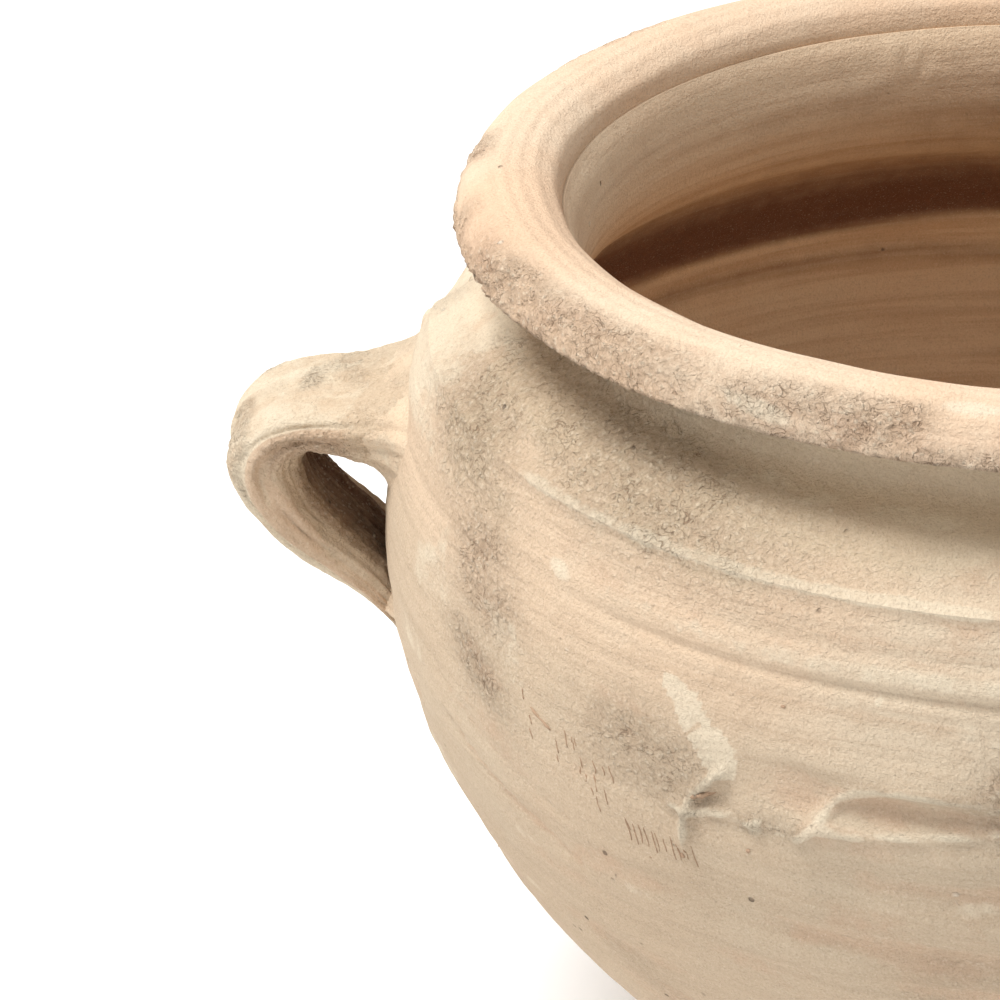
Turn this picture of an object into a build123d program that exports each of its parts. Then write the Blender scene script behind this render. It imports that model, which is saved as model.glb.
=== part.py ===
from build123d import *
import os

os.makedirs("parts", exist_ok=True)

# Two-handled terracotta pot, fired clay throughout.
# Millimetres, +Z up. The origin is the centre of the foot, on the ground.
# The handles stand on -X (left) and +X (right).

# ------------------------------------------------------------ radii
rim_radius = 125.0          # outermost edge of the lip
belly_past_rim = 16.6       # the belly stands out past the lip by this
seam_step = 11.2            # the shoulder seam is set in from the belly by this
waist_step = 16.0           # the waist of the neck is set in from the lip by this
foot_radius = 64.0          # flat foot the pot stands on
drain_radius = 10.0         # drain hole through the floor

# ------------------------------------------------------------ heights
belly_height = 131.4        # ground to the widest point
shoulder_rise = 47.9        # widest point to the seam
waist_rise = 14.2           # seam to the waist of the neck
flare_rise = 12.4           # waist of the neck to the underside of the lip
lip_depth = 9.1             # lip, underside to crest

# ------------------------------------------------------------ clay
wall = 9.8                  # thrown wall
floor = 13.0                # floor
lip_width = 22.0            # lip, inner edge to outermost point
lip_overhang = 3.7          # the lip stands out past the top of the neck
seam_slope = 8.8            # drop of the scored seam face, outside to inside
seam_width = 17.9           # width of the scored seam face

# ------------------------------------------------------------ handles
strap_width = 37.5          # strap, edge to edge
strap_thickness = 10.0      # strap, top to underside
bend_thickness = 14.8       # strap where it is bent over
handle_reach = 32.8         # outside of the bend, out past the belly
handle_drop = 50.4          # top of the strap to the middle of its lower root
handle_below_seam = 17.5    # seam down to the top of the strap
edge_round = 3.4            # rounding along the strap's long edges
root_sink = 14.0            # the strap's cut ends are drawn this far into the wall
pad_side = 13.0             # luting clay, each side of the strap
pad_stand_off = 3.4         # luting clay standing off the pot wall
pad_above = 9.0             # luting clay above and below the strap

# ------------------------------------------------------------ worked out
belly_radius = rim_radius + belly_past_rim
seam_radius = belly_radius - seam_step
neck_radius = rim_radius - waist_step
neck_top = rim_radius - lip_overhang
lip_inner = rim_radius - lip_width
seam_inner = seam_radius - seam_width
throat_radius = neck_radius - wall
spread = belly_radius - foot_radius

seam_height = belly_height + shoulder_rise
seam_foot = seam_height - seam_slope
neck_height = seam_height + waist_rise
lip_base = neck_height + flare_rise
pot_height = lip_base + lip_depth

strap_top = seam_height - handle_below_seam
root_height = strap_top - handle_drop
strap_under = strap_top - strap_thickness
hollow_reach = handle_reach - bend_thickness
strap_round = min(edge_round, 0.19 * hollow_reach)  # the hollow's bend limits it
sunk = belly_radius - root_sink


def bowl_outside():
    """Outside of the bowl, foot to seam."""
    Spline(
        (foot_radius, 0.0),
        (foot_radius + 0.284 * spread, 0.195 * belly_height),
        (foot_radius + 0.590 * spread, 0.385 * belly_height),
        (foot_radius + 0.839 * spread, 0.621 * belly_height),
        (foot_radius + 0.961 * spread, 0.811 * belly_height),
        (belly_radius, belly_height),
        (belly_radius - 0.30 * seam_step, belly_height + 0.52 * shoulder_rise),
        (belly_radius - 0.63 * seam_step, belly_height + 0.80 * shoulder_rise),
        (seam_radius, seam_height),
    )


def bowl_inside():
    """Inside of the bowl, seam down to the floor, one wall in from the outside."""
    Spline(
        (seam_inner, seam_foot),
        (belly_radius - 0.45 * seam_step - 1.15 * wall, belly_height + 0.48 * shoulder_rise),
        (belly_radius - wall, 0.96 * belly_height),
        (foot_radius + 0.839 * spread - 1.08 * wall, 0.63 * belly_height),
        (foot_radius + 0.590 * spread - 1.18 * wall, 0.41 * belly_height),
        (foot_radius + 0.284 * spread - 1.28 * wall, 0.235 * belly_height),
        (foot_radius - 0.7 * wall, floor),
    )


def neck_outside():
    """Outside of the neck, seam to lip: in to the waist, then flared."""
    run_in = seam_radius - neck_radius
    run_out = neck_top - neck_radius
    Spline(
        (seam_radius, seam_height),
        (neck_radius + 0.36 * run_in, seam_height + 0.55 * waist_rise),
        (neck_radius, neck_height),
        (neck_radius + 0.24 * run_out, neck_height + 0.52 * flare_rise),
        (neck_top, lip_base),
        tangents=((-1.0, 0.42), (1.0, 0.45)),
    )


def neck_inside():
    """Inside of the neck: from the lip down the throat, out to the seam."""
    Spline(
        (lip_inner, lip_base),
        (throat_radius, seam_height + 0.62 * waist_rise),
        (seam_inner - 0.6 * (seam_inner - throat_radius), seam_foot + 0.75 * seam_slope),
        (seam_inner, seam_foot),
    )


def lip_outside():
    """Lip from its outer underside edge, over the crest, to its inner edge."""
    Spline(
        (rim_radius, lip_base),
        (rim_radius - 0.10 * lip_width, lip_base + 0.60 * lip_depth),
        (rim_radius - 0.50 * lip_width, pot_height),
        (lip_inner + 0.14 * lip_width, lip_base + 0.74 * lip_depth),
        (lip_inner, lip_base + 0.20 * lip_depth),
        tangents=((-0.1, 1.0), (-0.55, 0.83), (-1.0, 0.0), (-0.8, -0.6), (-0.12, -1.0)),
    )


# ---------------------------------------------------------------- bowl
# The first lump thrown on the wheel: floor, belly and shoulder, with the
# drain hole pushed through the floor while the clay was wet.
with BuildPart() as bowl:
    with BuildSketch(Plane.XZ):
        with BuildLine():
            bowl_outside()
            Line((seam_radius, seam_height), (seam_inner, seam_foot))
            bowl_inside()
            Line((foot_radius - 0.7 * wall, floor), (0, floor))
            Line((0, floor), (0, 0))
            Line((0, 0), (foot_radius, 0))
        make_face()
    revolve(axis=Axis.Z)
    with Locations((0, 0, floor)):
        Hole(radius=drain_radius, depth=floor)
bowl.part.label = "bowl"
export_step(bowl.part, "parts/bowl.step")

# ---------------------------------------------------------------- neck
# A ring of clay joined on at the scored seam and thrown in to a waist.
with BuildPart() as neck:
    with BuildSketch(Plane.XZ):
        with BuildLine():
            neck_outside()
            Line((neck_top, lip_base), (lip_inner, lip_base))
            neck_inside()
            Line((seam_inner, seam_foot), (seam_radius, seam_height))
        make_face()
    revolve(axis=Axis.Z)
neck.part.label = "neck"
export_step(neck.part, "parts/neck.step")

# ---------------------------------------------------------------- rim
# A coil laid on the neck and turned outward into a broad, rounded lip.
with BuildPart() as rim:
    with BuildSketch(Plane.XZ):
        with BuildLine():
            lip_outside()
            Line((lip_inner, lip_base + 0.20 * lip_depth), (lip_inner, lip_base))
            Line((lip_inner, lip_base), (rim_radius, lip_base))
        make_face()
    revolve(axis=Axis.Z)
rim.part.label = "rim"
export_step(rim.part, "parts/rim.step")

# ------------------------------------------------------- outside form
# The closed outside of bowl and neck. Handles and pads are cut with it, so
# they meet the wall face to face.
with BuildPart() as outside:
    with BuildSketch(Plane.XZ):
        with BuildLine():
            bowl_outside()
            neck_outside()
            Line((neck_top, lip_base), (0, lip_base))
            Line((0, lip_base), (0, 0))
            Line((0, 0), (foot_radius, 0))
        make_face()
    revolve(axis=Axis.Z)


def out(side, share, down):
    """A point on the strap's outer line, as shares of its reach and drop."""
    return (side * (belly_radius + share * handle_reach), strap_top - down * handle_drop)


def inn(side, share, down):
    """A point on the strap's inner line, as shares of the hollow's reach and drop."""
    under = handle_drop - strap_thickness
    return (side * (belly_radius + share * hollow_reach), strap_under - down * under)


def strap(side):
    """A pulled strap: out from the shoulder, bent over, down to the belly."""
    roof_end = (side * sunk, strap_under - 0.2 * handle_drop)
    foot_end = (side * sunk, root_height + 0.06 * handle_drop)
    with BuildPart() as body:
        with BuildSketch(Plane.XZ):
            with BuildLine():
                Spline(
                    (side * sunk, strap_top + 0.12 * handle_drop),
                    out(side, -0.143, -0.083),
                    out(side, 0.274, -0.010),
                    out(side, 0.622, 0.030),
                    out(side, 0.933, 0.160),
                    out(side, 1.000, 0.256),
                    out(side, 0.854, 0.494),
                    out(side, 0.619, 0.663),
                    out(side, 0.177, 0.879),
                    (side * sunk, root_height - 0.14 * handle_drop),
                )
                Line((side * sunk, root_height - 0.14 * handle_drop), foot_end)
                Spline(
                    foot_end,
                    inn(side, 0.100, 0.630),
                    inn(side, 0.544, 0.477),
                    inn(side, 0.933, 0.218),
                    inn(side, 1.000, 0.083),
                    inn(side, 0.750, -0.012),
                    inn(side, 0.372, 0.060),
                    roof_end,
                )
                Line(roof_end, (side * sunk, strap_top + 0.12 * handle_drop))
            make_face()
        extrude(amount=0.5 * strap_width, both=True)
        flats = body.faces().filter_by(Axis.Y)
        fillet(flats.edges(), radius=strap_round)
        add(outside.part, mode=Mode.SUBTRACT)
    return body.part


def pad(side, height, half_height, handle):
    """Luting clay smeared round one end of a strap, feathered onto the wall."""
    inset = 0.86 * root_sink
    half_width = 0.5 * strap_width + pad_side
    with BuildPart() as mound:
        Sphere(radius=1.0)
        scale(by=(inset + pad_stand_off, half_width, half_height))
    place = Location((side * (belly_radius - 0.14 * seam_step - inset), 0, height))
    with BuildPart() as body:
        add(mound.part.moved(place))
        add(outside.part, mode=Mode.SUBTRACT)
        add(handle, mode=Mode.SUBTRACT)
    return body.part


# ---------------------------------------------------------------- handles
# Each side has one strap and the two patches of clay that hold its ends.
for side, word in ((-1, "left"), (1, "right")):
    handle = strap(side)
    handle.label = word + "_handle"
    export_step(handle, f"parts/{word}_handle.step")

    upper = pad(side, strap_top - 0.45 * strap_thickness, strap_thickness + pad_above, handle)
    upper.label = word + "_upper_pad"
    export_step(upper, f"parts/{word}_upper_pad.step")

    lower = pad(side, root_height + 0.25 * strap_thickness, 0.8 * strap_thickness + pad_above, handle)
    lower.label = word + "_lower_pad"
    export_step(lower, f"parts/{word}_lower_pad.step")
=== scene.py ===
import math
import bpy
import numpy as np
from mathutils import Matrix, Vector


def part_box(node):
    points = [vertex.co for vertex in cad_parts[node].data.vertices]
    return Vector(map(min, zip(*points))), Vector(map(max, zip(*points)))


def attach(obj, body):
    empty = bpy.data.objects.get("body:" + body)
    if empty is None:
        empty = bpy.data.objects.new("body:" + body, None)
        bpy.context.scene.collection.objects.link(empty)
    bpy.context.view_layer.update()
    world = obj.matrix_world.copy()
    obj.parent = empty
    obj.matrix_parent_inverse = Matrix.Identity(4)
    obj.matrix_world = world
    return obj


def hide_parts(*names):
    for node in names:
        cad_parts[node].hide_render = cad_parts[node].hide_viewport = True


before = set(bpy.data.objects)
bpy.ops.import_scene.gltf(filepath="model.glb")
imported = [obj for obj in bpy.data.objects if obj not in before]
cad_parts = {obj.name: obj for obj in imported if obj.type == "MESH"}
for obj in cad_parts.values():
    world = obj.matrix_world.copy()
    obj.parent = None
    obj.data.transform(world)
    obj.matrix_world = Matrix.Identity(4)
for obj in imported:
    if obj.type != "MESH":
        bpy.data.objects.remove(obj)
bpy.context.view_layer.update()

# ======================================================================
# Bowl. The first lump of clay, thrown on the wheel from floor to shoulder,
# then left with the potter's finger marks, torn patches and comb scratches.
# Coarse grogged earthenware under a thin cream slip, fired and unglazed.
# ======================================================================


def lattice(cell, seed):
    """A random gradient for each lattice cell."""
    h = cell[..., 0] * 374761393 + cell[..., 1] * 668265263 + cell[..., 2] * 2147483647 + seed * 974634777
    h = (h ^ (h >> 13)) * 1274126177
    h = h ^ (h >> 16)
    a = (h & 1023) * (2 * np.pi / 1024)
    b = ((h >> 10) & 1023) * (2.0 / 1024) - 1
    c = np.sqrt(np.maximum(0, 1 - b * b))
    return np.stack([c * np.cos(a), c * np.sin(a), b], -1)


def noise(p, seed=0):
    """Smooth gradient noise, about -1 to 1, one feature per unit."""
    base = np.floor(p).astype(np.int64)
    f = p - base
    u = f * f * f * (f * (f * 6 - 15) + 10)
    out = 0
    for i in (0, 1):
        for j in (0, 1):
            for k in (0, 1):
                corner = np.array([i, j, k])
                g = lattice(base + corner, seed)
                w = np.prod(np.where(corner == 1, u, 1 - u), -1)
                out = out + w * np.sum(g * (f - corner), -1)
    return out * 1.6


def rough(p, octaves=4, gain=0.5, seed=0):
    """Several octaves of noise added up."""
    total, amp = 0, 1.0
    for o in range(octaves):
        total = total + amp * noise(p * 2.03 ** o, seed + o)
        amp *= gain
    return total


def step(x, lo, hi):
    """Smooth ramp from 0 at lo to 1 at hi."""
    t = np.clip((x - lo) / (hi - lo), 0, 1)
    return t * t * (3 - 2 * t)


def arc(az, centre):
    """Millimetres round the belly from an azimuth in degrees."""
    return ((az - centre + 180) % 360 - 180) * 2.46


def spot(az, z, at, reach, turn=0.0):
    """Soft elliptical spot: centre in degrees and mm, reach in mm along and up."""
    a, b = arc(az, at[0]), z - at[1]
    c, s = math.cos(math.radians(turn)), math.sin(math.radians(turn))
    return np.exp(-(((a * c + b * s) / reach[0]) ** 2 + ((-a * s + b * c) / reach[1]) ** 2))


def drawn(az, z, points, width, power=2.0):
    """Closeness to a line drawn through (degrees, mm, width share) points."""
    best = np.full(np.broadcast(az, z).shape, 1e9)
    for (a0, z0, w0), (a1, z1, w1) in zip(points[:-1], points[1:]):
        x, y = arc(az, a0), z - z0
        dx, dy = (a1 - a0) * 2.46, z1 - z0
        t = np.clip((x * dx + y * dy) / (dx * dx + dy * dy), 0, 1)
        w = width * (w0 + (w1 - w0) * t)
        best = np.minimum(best, np.hypot(x - t * dx, y - t * dy) / w)
    return np.exp(-(best ** power))


def reach_in(node, height):
    """Radius where a level line from outside first meets a CAD node."""
    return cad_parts[node].ray_cast(Vector((0.4, 1e-5, height)), Vector((-1, 0, 0)))[1][0]


def reach_out(node, height):
    """Radius where a level line from the axis first meets a CAD node."""
    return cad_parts[node].ray_cast(Vector((0, 1e-5, height)), Vector((1, 0, 0)))[1][0]


seam_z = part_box("bowl")[1][2]
seam_foot_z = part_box("neck")[0][2]
lip_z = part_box("neck")[1][2]
belly_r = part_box("bowl")[1][0]
floor_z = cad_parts["bowl"].ray_cast(Vector((0.03, 0, 0.1)), Vector((0, 0, -1)))[1][2]
drain_r = reach_out("bowl", 0.5 * floor_z)

# Azimuths of the columns: closer together on the front left.
dial = np.linspace(0, 360, 721)
crowd = 1.0 + 1.15 * np.exp(-(((dial - 226) / 42) ** 2))
running = np.concatenate([[0], np.cumsum(0.5 * (crowd[1:] + crowd[:-1]))])
columns = np.interp(np.linspace(0, 1, 461)[:-1], running / running[-1], dial)

# The outside line of bowl and neck, foot to lip, and the inside line back down.
levels = np.concatenate([
    np.linspace(0.004, 0.045, 13)[:-1],
    np.linspace(0.045, 0.158, 85)[:-1],
    np.linspace(0.158, seam_z, 31),
])
bowl_out = [(reach_in("bowl", min(h, seam_z - 2e-5)), h) for h in levels]
bowl_out = [(bowl_out[0][0] - 0.0035, 0.0), (bowl_out[0][0] - 0.0012, 0.0008)] + bowl_out
neck_levels = np.concatenate([
    seam_z + np.linspace(0, 0.006, 10)[1:],
    np.linspace(seam_z + 0.006, lip_z, 27)[1:],
])
neck_out = [(reach_in("neck", min(h, lip_z - 2e-5)), h) for h in neck_levels]
outside = np.array(bowl_out + neck_out)
n_bowl = len(bowl_out)
neck_in = [(reach_out("neck", h), h) for h in np.linspace(lip_z - 1e-5, seam_foot_z + 1e-5, 18)]
bowl_in = [(reach_out("bowl", h), h) for h in np.linspace(seam_foot_z - 1e-5, floor_z + 0.0035, 54)[1:]]
inside = np.array(neck_in + bowl_in)
n_neck_in = len(neck_in)


def facing(path):
    """Unit normals of a (radius, height) path, on its right-hand side."""
    d = np.gradient(path, axis=0)
    for _ in range(2):
        d[1:-1] = (d[:-2] + 2 * d[1:-1] + d[2:]) / 4
    n = np.stack([d[:, 1], -d[:, 0]], -1)
    return n / np.linalg.norm(n, axis=1)[:, None]


def around(path):
    """Points of a (radius, height) path turned round every column, in metres."""
    a = np.radians(columns)
    r, h = path[:, 0][:, None], path[:, 1][:, None]
    return np.stack([r * np.cos(a), r * np.sin(a), h + 0 * a], -1)


def raised(path, normals, high):
    """Rings of a path, each point moved along its normal by high, in mm."""
    a = np.radians(columns)
    nr, nz = normals[:, 0][:, None], normals[:, 1][:, None]
    n = np.stack([nr * np.cos(a), nr * np.sin(a), nz + 0 * a], -1)
    return around(path) + n * (high[..., None] / 1000)


def squashed(p, along, up):
    """Points scaled down for noise that lies in level streaks."""
    return np.stack([p[..., 0] / along, p[..., 1] / along, p[..., 2] / up], -1)


def outside_marks(az, z, p):
    """Height of the outside marks in mm, and fields for grit, stain with painted shade, slip with painted
    highlights, moss with painted shade, darkening low down and painted shade in pits.
    """
    high = 0.50 * noise(p / 62, 3) + 0.22 * noise(p / 23, 4) + 0.10 * noise(p / 9, 6)
    wheel = rough(squashed(p, 70, 3.1), 4, 0.62, 5)
    calm = 1 - 0.65 * step(z, 178, 182)
    high = high + 0.13 * wheel * calm
    wander = 0.9 * noise(p / 48, 9)
    # luting clay of the handles spread up the neck, over the shoulder and below
    side = np.minimum(np.abs(arc(az, 180)), np.abs(arc(az, 0))) / 2.46
    fray = side + 3.2 * noise(p / 13, 11)
    behind = spot(az, z, (170, 181), (16, 8))
    clear = 1 - step(behind, 0.05, 0.5)
    up_neck = step(z, 177, 185) * step(z, 197, 186)
    high = high + 2.6 * clear * up_neck * np.exp(-(fray / 17.5) ** 4) - 4.3 * behind
    high = high + 1.3 * clear * np.exp(-(fray / 18) ** 4) * step(z, 160, 172) * step(z, 186, 179)
    high = high + 1.3 * np.exp(-(fray / 12) ** 2) * np.exp(-((z - 134) / 17) ** 2)
    high = high + 1.2 * np.exp(-(fray / 13) ** 2) * np.exp(-((z - 100) / 13) ** 2)
    high = high + 1.5 * spot(az, z, (175.6, 174.0), (4, 2.2))
    smear = np.exp(-(fray / 20) ** 6) * step(z, 158, 174)
    # edge where the neck was set on the bowl, and fainter thrown lines under it
    keep = drawn(az, z * 0, [(219, 0, 1), (257, 0, 1)], 8.0) + step(noise(p / 60, 21), 0.1, 0.5)
    keep = np.clip(keep, 0, 1) * (1 - smear)
    high = high + 0.55 * keep * np.exp(-((z - 179.4 - 0.25 * wander) / 0.7) ** 2)
    high = high + 2.6 * (1 - smear) * np.exp(-((z - 185.2) / 4.2) ** 2)
    high = high - 0.15 * keep * np.exp(-((z - 177.6 - 0.25 * wander) / 1.0) ** 2)
    thin = (1 - smear) * (0.55 + 0.45 * noise(p / 30, 22))
    high = high + 0.34 * thin * np.exp(-((z - 175.2 - 0.4 * wander) / 0.8) ** 2)
    high = high + 0.26 * thin * np.exp(-((z - 172.9 - 0.5 * wander) / 0.7) ** 2)
    # rounded band with a groove under it
    band = np.clip(step(az, 214, 240) + step(az, 150, 60), 0, 1) * (0.75 + 0.25 * noise(p / 40, 23))
    low_edge = 165.2 + 0.3 * wander
    high = high + 0.80 * band * step(z, low_edge - 0.3, low_edge + 1.6) * step(z, 171.6, 168.5)
    high = high - 0.80 * band * np.exp(-((z - low_edge + 0.4) / 0.9) ** 2)
    high = high - 0.30 * band * np.exp(-((z - 161.2 - 0.5 * wander) / 0.9) ** 2)
    # fingertip drags low on the front and round the back
    flow = np.stack([az * 2.46 / 52 + 0.02 * z, z / 10.5, 0 * z + 3.3], -1)
    flat = np.clip(noise(flow, 31) + 0.25 * noise(p / 12, 32), -0.30, 0.42)
    drag = step(arc(az, 246), -14, 8) * step(z, 156, 147) * step(z, 88, 100)
    elsewhere = step(noise(p / 60, 33), 0.0, 0.5) * step(z, 150, 120) * 0.6
    drag = np.clip(drag * step(arc(az, 300), 60, 0) + elsewhere, 0, 1)
    high = high + 2.4 * drag * flat
    # fold of clay with its crossing ridges, and the slip smear above it
    # The points of these lines, and of the smear below, were copied from the output of a
    # measuring script. They were not chosen by hand, and they are no pattern to follow.
    crease = [(241.7, 144, 0.7), (240.4, 141, 1), (238.9, 136.5, 1), (238.5, 132, 1), (238.4, 126, 0.5)]
    fold = drawn(az, z, crease, 1.1)
    cross = drawn(az, z, [(237, 134, 0.5), (238.9, 133.7, 1), (242.5, 136, 0.9), (245.7, 134.5, 0.6)], 0.9)
    arch = [
        (247.9, 134.5, 0.5), (249.5, 138.5, 1), (249.9, 141.5, 1), (250.9, 144.5, 1),
        (252.8, 146.5, 0.9), (255.7, 147.5, 0.8), (262.5, 146.5, 0.7), (272, 146, 0.4),
    ]
    sill = [(249.5, 138, 1), (252, 138, 0.8), (256, 139.5, 0.8), (262.6, 141.5, 0.7), (274, 142, 0.4)]
    ridge = np.maximum(drawn(az, z, arch, 1.3), drawn(az, z, sill, 1.2))
    crumbs = drawn(az, z, [(243.6, 135, 1), (245.8, 136, 1.3), (247.9, 136, 0.9)], 2.2)
    high = high + 1.9 * fold + 1.1 * cross + 1.3 * ridge
    high = high - 1.1 * spot(az, z, (240.4, 137.7), (4.2, 2.0), 25)
    high = high - 0.9 * spot(az, z, (256, 143.5), (14, 2.6), 4)
    run_down = [(236.1, 157.5, 0.5), (237.8, 154.5, 0.8), (239.5, 150.5, 1), (241.4, 146, 1)]
    tongue = drawn(az, z, run_down, 3.9, 4)
    tongue = step(tongue * (1 + 0.9 * rough(p / 5.0, 3, 0.6, 34)), 0.28, 0.70)
    high = high + 0.28 * tongue
    # long slanting scores and the comb's teeth
    score = drawn(az, z, [(208, 121, 0.5), (218, 113.5, 1), (226.8, 108.7, 1.1)], 1.3)
    score = np.maximum(score, 0.6 * drawn(az, z, [(206, 131, 0.5), (216, 124, 1), (228, 118, 0.4)], 1.1))
    score = np.maximum(score, 0.5 * drawn(az, z, [(213, 152, 0.6), (224, 147.5, 1), (235, 144, 0.4)], 1.1))
    high = high - 0.6 * score
    comb = spot(az, z, (227.5, 134.5), (15, 6.5), -36)
    comb = np.maximum(comb, 0.9 * spot(az, z, (236.3, 124), (8, 3.6), -8))
    teeth = noise(np.stack([(az * 2.46 + 0.42 * z) / 2.6, z / 8.0, 0 * z], -1), 35)
    high = high - 0.30 * comb * np.clip(teeth + 0.15, 0, 1)
    # torn, gritty and flaked clay
    sand = 0.95 * spot(az, z, (205, 178), (24, 11), -10)
    sand = np.maximum(sand, 0.9 * spot(az, z, (226, 185), (44, 8), -6))
    sand = np.maximum(sand, 0.55 * step(noise(p / 34, 42), 0.2, 0.6) * step(z, 168, 178))
    flake = 0.8 * spot(az, z, (213, 160), (17, 10), -36)
    flake = np.maximum(flake, 0.8 * spot(az, z, (214.5, 140), (14, 5.5), -28))
    flake = np.maximum(flake, 0.22 * spot(az, z, (231, 136), (19, 9), -30))
    flake = np.maximum(flake, 0.6 * spot(az, z, (264, 149), (9, 11), 0))
    flake = np.maximum(flake, 0.45 * crumbs)
    flake = np.maximum(flake, 0.6 * step(noise(p / 40, 41), 0.22, 0.75) * step(z, 30, 60))
    grit = np.clip(np.maximum(sand, flake) + 0.12, 0, 1)
    tear = rough(p / 3.3, 3, 0.66, 51)
    broken = np.clip(np.maximum(0.8 * sand, flake), 0, 1)
    high = high + 0.50 * broken * tear * (0.4 + 0.6 * step(np.abs(arc(az, 226)), 190, 110))
    # painted shade in the low parts of the torn relief
    pit = broken * step(tear, -0.15, -0.75)
    # colour fields
    stain = 0.55 * spot(az, z, (215, 140.5), (14, 6), -26)
    # painted shade in the low parts of the finger drags
    stain = np.maximum(stain, 0.8 * drag * step(flat, 0.12, -0.18))
    # painted shade in the comb's grooves, with a light stain over the combed patch
    stain = np.maximum(stain, 0.45 * comb * step(teeth, 0.0, 0.5) + 0.2 * comb)
    stain = np.maximum(stain, 0.55 * spot(az, z, (219, 126), (22, 9), -30))
    stain = np.maximum(stain, 0.45 * spot(az, z, (264, 149), (9, 11), 0))
    under_seam = step(z, 166, 170) * step(z, 179.5, 177.5)
    stain = np.maximum(stain, 0.45 * under_seam * step(arc(az, 218), -20, 20))
    # painted shade in the hollow beside the fold
    stain = np.maximum(stain, 0.5 * spot(az, z, (240.4, 137.7), (4, 1.8), 25))
    stain = np.maximum(stain, 0.8 * spot(az, z, (254, 118), (30, 9), 0) * (0.6 + 0.5 * noise(p / 15, 46)))
    # painted shade in the scores
    stain = np.maximum(stain, 0.8 * score)
    # painted shade in the groove under the band
    stain = np.maximum(stain, 0.5 * band * np.exp(-((z - low_edge + 0.4) / 1.1) ** 2))
    stain = np.maximum(stain, 0.45 * spot(az, z, (213, 160), (15, 10), -36))
    stain = np.maximum(stain, 0.55 * step(noise(squashed(p, 40, 9), 43), 0.25, 0.6))
    # the slip tongue, with a painted highlight along the seam ridge
    pale = np.maximum(tongue * 1.0, 0.95 * keep * np.exp(-((z - 179.6 - 0.25 * wander) / 0.85) ** 2))
    # painted highlight on the rounded band
    pale = np.maximum(pale, 0.7 * band * step(z, low_edge, low_edge + 2.5) * step(z, 171.8, 169))
    pale = np.maximum(pale, 1.1 * spot(az, z, (223.3, 168.5), (3.8, 1.9), -10))
    pale = np.maximum(pale, 1.3 * spot(az, z, (253.3, 163.5), (0.9, 0.9)))
    # painted highlight on the thin thrown lines
    pale = np.maximum(pale, 0.45 * thin * np.exp(-((z - 175.2 - 0.4 * wander) / 0.9) ** 2))
    pale = np.maximum(pale, 0.55 * spot(az, z, (206, 150), (15, 12), 0))
    # painted highlight on the fold and the ridges crossing it
    pale = np.maximum(pale, 0.85 * np.maximum(np.maximum(fold, cross), ridge))
    # painted highlight on the crests of the crumbs
    pale = np.maximum(pale, 0.8 * crumbs * step(tear, -0.1, 0.4))
    pale = np.maximum(pale, 0.5 * step(noise(squashed(p, 34, 8), 44), 0.25, 0.6))
    pale = np.maximum(pale, 0.75 * smear * step(z, 150, 170))
    moss = 0.9 * spot(az, z, (205, 178), (26, 11), -10)
    moss = np.maximum(moss, 0.7 * spot(az, z, (228, 184), (48, 10), -4))
    moss = np.maximum(moss, 0.8 * spot(az, z, (238, 178.6), (18, 3), 0))
    # painted shade: the whole neck above the seam tinted darker and greener
    moss = np.maximum(moss, 0.85 * step(z, 180.5, 184))
    # darker towards the bottom of the bowl
    worn = step(z + 5 * noise(p / 40, 45), 160, 143)
    return high, dict(grit=grit, stain=stain, pale=pale, moss=moss * (1 - 0.8 * smear), worn=worn, pit=pit)


def ring_mesh(name, rings, sharp=()):
    """A closed mesh from rings of points, the last joined to the first."""
    rows, cols = rings.shape[:2]
    mesh = bpy.data.meshes.new(name)
    index = np.arange(rows * cols).reshape(rows, cols)
    nxt = np.roll(index, -1, 1)
    up, up_nxt = np.roll(index, -1, 0), np.roll(nxt, -1, 0)
    quads = np.stack([index, nxt, up_nxt, up], -1).reshape(-1, 4)
    mesh.from_pydata(rings.reshape(-1, 3), [], quads)
    mesh.shade_smooth()
    if sharp:
        ends = np.zeros(2 * len(mesh.edges), dtype=np.int32)
        mesh.edges.foreach_get("vertices", ends)
        ring_of = ends.reshape(-1, 2) // cols
        hard = (ring_of[:, 0] == ring_of[:, 1]) & np.isin(ring_of[:, 0], np.array(sharp) % rows)
        mesh.attributes.new("sharp_edge", "BOOLEAN", "EDGE").data.foreach_set("value", hard)
    obj = bpy.data.objects.new(name, mesh)
    bpy.context.scene.collection.objects.link(obj)
    return obj


def paint(obj, rows, **fields):
    """Store per-point fields, zero past the rows they cover, for the material."""
    for field, values in fields.items():
        start, values = values if isinstance(values, tuple) else (0, values)
        full = np.zeros((rows, values.shape[1]))
        full[start:start + len(values)] = values
        layer = obj.data.attributes.new(field, "FLOAT", "POINT")
        layer.data.foreach_set("value", np.ascontiguousarray(full, dtype=np.float32).ravel())


out_pts, in_pts = around(outside) * 1000, around(inside) * 1000
az_out = np.broadcast_to(columns, out_pts.shape[:2])
az_in = np.broadcast_to(columns, in_pts.shape[:2])
high, marks = outside_marks(az_out, out_pts[..., 2], out_pts)
high = high * step(out_pts[..., 2], 0.0, 6.0)
out_rings = raised(outside, facing(outside), high)

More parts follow.
